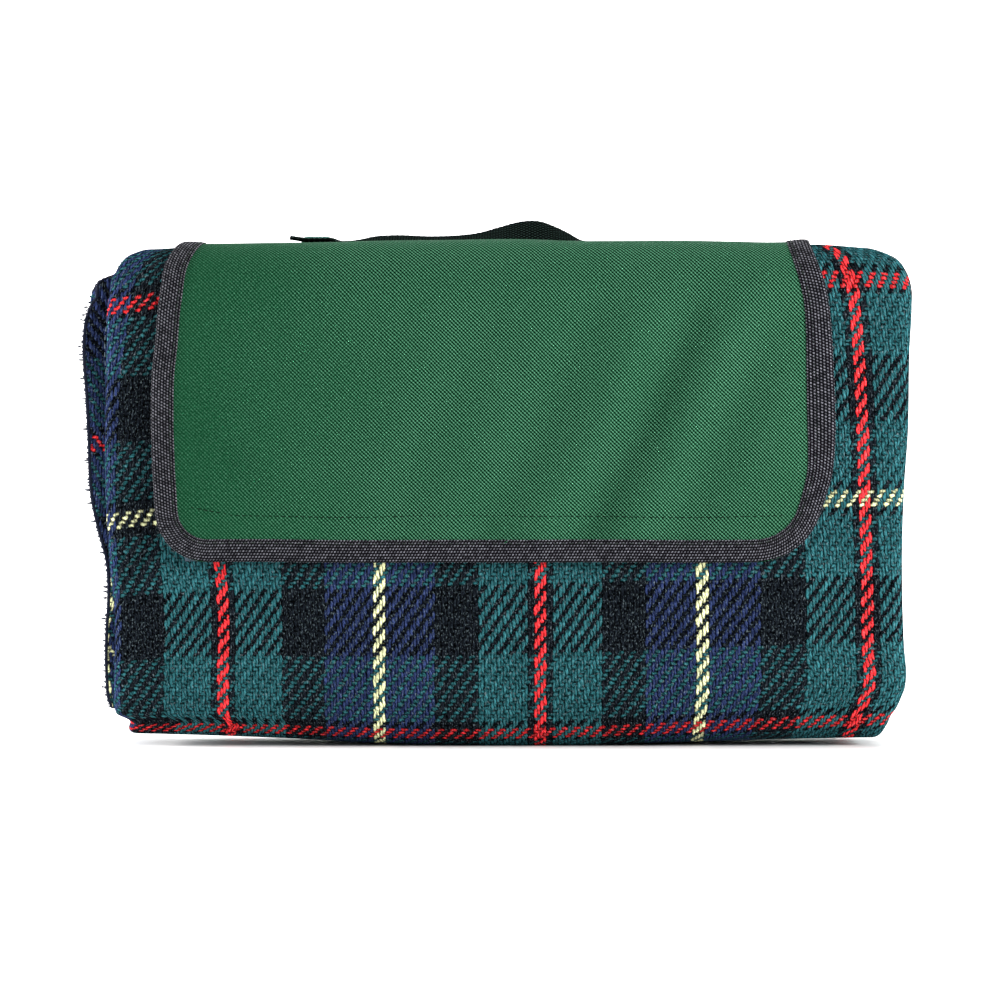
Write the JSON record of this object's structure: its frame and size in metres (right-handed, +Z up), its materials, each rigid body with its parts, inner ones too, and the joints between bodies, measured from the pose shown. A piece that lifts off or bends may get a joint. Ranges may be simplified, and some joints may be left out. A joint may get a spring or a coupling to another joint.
{
  "type": "camp blanket",
  "caption": "Folded padded camp blanket in tartan cloth with a wrap-over cover flap, hook-and-loop closure and a webbing carry handle.",
  "frame": {"origin": "on the ground, under the middle of the bounding box", "axes": "+X to the right along the bundle's length, -Y to the front where the flap closes, +Z up"},
  "size_m": [0.332, 0.0886, 0.2131],
  "materials": {
    "tartan": "woven 2/2 twill acrylic, brushed, matte",
    "foam": "soft open-cell foam sheet",
    "film": "thin waterproof film, satin",
    "thread": "dark polyester thread",
    "loop_tape": "brushed loop pile",
    "hook_tape": "moulded hook field, matte",
    "green_polyester": "coated oxford weave, slight sheen",
    "lining": "coated inner face of the cover, matte",
    "binding": "charcoal twill tape",
    "webbing": "ribbed polypropylene webbing"
  },
  "bodies": {
    "root": {"tartan_face_cloth": "tartan", "foam_interlining": "foam", "waterproof_backing": "film", "edge_overlock": "thread", "loop_tape": "loop_tape", "loop_tape_stitching": "thread", "cover_back": "green_polyester", "lining_back": "lining", "binding_back": "binding", "cover_seam_stitching": "thread"},
    "flap_top": {"cover_top": "green_polyester", "lining_top": "lining", "binding_top_left": "binding", "binding_top_right": "binding", "handle_end_left": "webbing", "handle_end_right": "webbing", "handle_stitching_left": "thread", "handle_stitching_right": "thread"},
    "flap_front": {"cover_front": "green_polyester", "lining_front": "lining", "binding_front": "binding", "binding_stitching": "thread", "hook_tape": "hook_tape", "hook_tape_stitching": "thread"},
    "handle": {"handle_webbing": "webbing"}
  },
  "joints": [
    {"name": "cover_hinge", "type": "hinge", "parent": "root", "child": "flap_top", "pos_m": [0, 0.04095, 0.1981], "axis": [-1, 0, 0], "range_deg": [0, 170]},
    {"name": "flap_hinge", "type": "hinge", "parent": "flap_top", "child": "flap_front", "pos_m": [0, -0.03714, 0.19444], "axis": [-1, 0, 0], "range_deg": [0, 170]},
    {"name": "handle_lift", "type": "slide", "parent": "flap_top", "child": "handle", "axis": [0, 0, 1], "range_m": [0, 0.018]}
  ]
}
